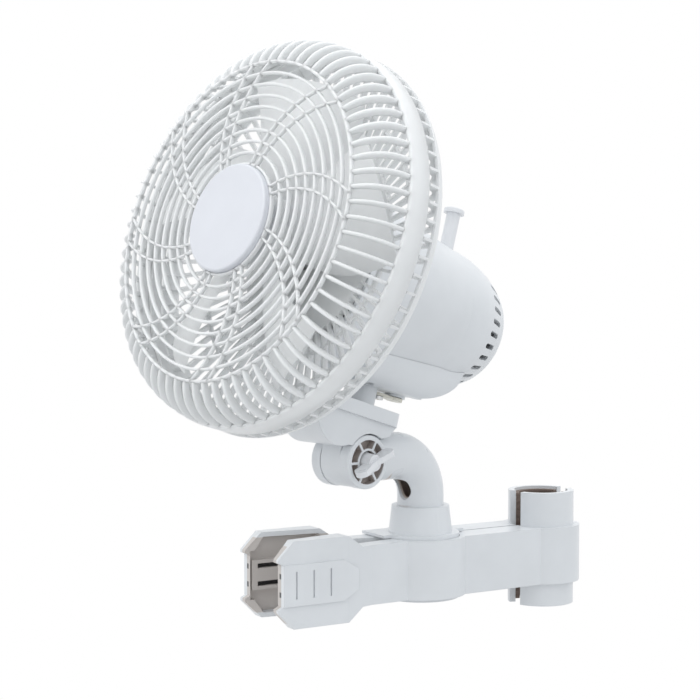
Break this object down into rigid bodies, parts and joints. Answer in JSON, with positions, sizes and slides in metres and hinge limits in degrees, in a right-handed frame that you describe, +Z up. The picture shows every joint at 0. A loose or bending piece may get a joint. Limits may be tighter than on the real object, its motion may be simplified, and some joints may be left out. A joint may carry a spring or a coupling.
{
  "type": "clip fan",
  "caption": "Caged fan head that oscillates and tilts on a swivelling elbow, carried by a spring clamp whose padded jaws grip an upright pole.",
  "frame": {"origin": "on the axis of the gripped pole, at the mid-height of the clamp arms", "axes": "+Z up along the pole; +Y from the squeeze handles to the jaws, so the fan looks towards -Y; +X to the side of the moving jaw"},
  "size_m": [0.1774, 0.2322, 0.2696],
  "materials": {
    "shell_white": "satin moulded plastic, cool white",
    "cage_white": "satin moulded plastic, cool white",
    "knob_white": "satin moulded plastic, white",
    "cap_tint": "satin moulded plastic, faint blue tint",
    "blade_white": "smooth moulded plastic, cool white",
    "jaw_lining": "matt brown rubber",
    "inner_plastic": "matt moulded plastic",
    "gear_plastic": "matt natural acetal",
    "spring_steel": "dull spring wire",
    "zinc_steel": "zinc-plated steel",
    "lamination": "stacked steel laminations",
    "winding": "enamelled copper wire",
    "cast_bracket": "die-cast aluminium",
    "bush_metal": "sintered bronze"
  },
  "bodies": {
    "clamp_base": {"clip_base_arm": "shell_white", "base_jaw_pad": "jaw_lining", "pivot_sleeve": "inner_plastic", "torsion_spring": "spring_steel"},
    "moving_jaw": {"clip_moving_arm": "shell_white", "moving_jaw_pad": "jaw_lining"},
    "elbow": {"elbow_tube": "shell_white", "hub_bolt": "zinc_steel", "hinge_bolt": "zinc_steel", "hinge_washer": "zinc_steel"},
    "wing": {"wing_nut": "knob_white"},
    "neck": {"neck_bracket": "shell_white", "yaw_screw": "zinc_steel", "link_pin": "zinc_steel"},
    "head": {"front_grille": "cage_white", "rear_grille": "cage_white", "front_cap": "cap_tint", "motor_housing": "shell_white", "gear_housing": "shell_white", "stator_core": "lamination", "stator_coils": "winding", "front_end_bracket": "cast_bracket", "rear_end_bracket": "cast_bracket", "bearing_bushes": "bush_metal", "motor_screws": "zinc_steel", "grille_screws": "zinc_steel", "gearbox_screws": "zinc_steel", "housing_screws": "zinc_steel"},
    "rotor": {"fan_blade": "blade_white", "blade_nut": "knob_white", "motor_shaft": "zinc_steel", "rotor_core": "lamination"},
    "worm_gear": {"worm_wheel": "gear_plastic"},
    "clutch": {"clutch_spindle": "zinc_steel"},
    "knob": {"clutch_knob": "knob_white"},
    "crank": {"crank_gear": "gear_plastic"},
    "link": {"crank_link": "zinc_steel"}
  },
  "joints": [
    {"name": "clip_open", "type": "hinge", "parent": "clamp_base", "child": "moving_jaw", "pos_m": [0, -0.0728, 0], "axis": [0, 0, -1], "range_deg": [0, 15], "stiffness_Nm_per_rad": 2, "springref_deg": -40.11, "deforming": ["torsion_spring"]},
    {"name": "swivel", "type": "hinge", "parent": "clamp_base", "child": "elbow", "pos_m": [0, -0.0728, 0], "axis": [0, 0, 1], "range_deg": [-102, 78]},
    {"name": "wing_turn", "type": "hinge", "parent": "elbow", "child": "wing", "pos_m": [0.00977, -0.11877, 0.054], "axis": [0.9781, 0.2079, 0], "range_deg": [0, 360]},
    {"name": "tilt", "type": "hinge", "parent": "elbow", "child": "neck", "pos_m": [0.00977, -0.11877, 0.054], "axis": [0.9781, 0.2079, 0], "range_deg": [0, 40]},
    {"name": "oscillate", "type": "hinge", "parent": "neck", "child": "head", "pos_m": [0.0046, -0.09446, 0.13529], "axis": [-0.0608, 0.286, 0.9563], "range_deg": [-30, 30]},
    {"name": "fan_spin", "type": "hinge", "parent": "head", "child": "rotor", "pos_m": [0.0046, -0.09446, 0.13529], "axis": [0.1988, -0.9354, 0.2924], "continuous": true},
    {"name": "worm_gear_turn", "type": "hinge", "parent": "head", "child": "worm_gear", "pos_m": [0.00745, -0.06939, 0.12797], "axis": [-0.0608, 0.286, 0.9563], "continuous": true},
    {"name": "clutch_turn", "type": "hinge", "parent": "head", "child": "clutch", "pos_m": [0.00745, -0.06939, 0.12797], "axis": [-0.0608, 0.286, 0.9563], "range_deg": [-72, 72]},
    {"name": "knob_lift", "type": "slide", "parent": "clutch", "child": "knob", "axis": [-0.0608, 0.286, 0.9563], "range_m": [-0.008, 0]},
    {"name": "crank_turn", "type": "hinge", "parent": "head", "child": "crank", "pos_m": [0.00063, -0.07576, 0.12944], "axis": [-0.0608, 0.286, 0.9563], "range_deg": [-30, 30]},
    {"name": "link_turn", "type": "hinge", "parent": "crank", "child": "link", "pos_m": [0.00282, -0.08605, 0.13265], "axis": [-0.0608, 0.286, 0.9563], "range_deg": [-60, 60]}
  ],
  "couplings": [
    {"joint": "worm_gear_turn", "follows": "fan_spin", "ratio": -0.0625},
    {"joint": "clutch_turn", "follows": "oscillate", "ratio": -2.375},
    {"joint": "crank_turn", "follows": "oscillate", "ratio": 1},
    {"joint": "link_turn", "follows": "oscillate", "ratio": -2}
  ]
}
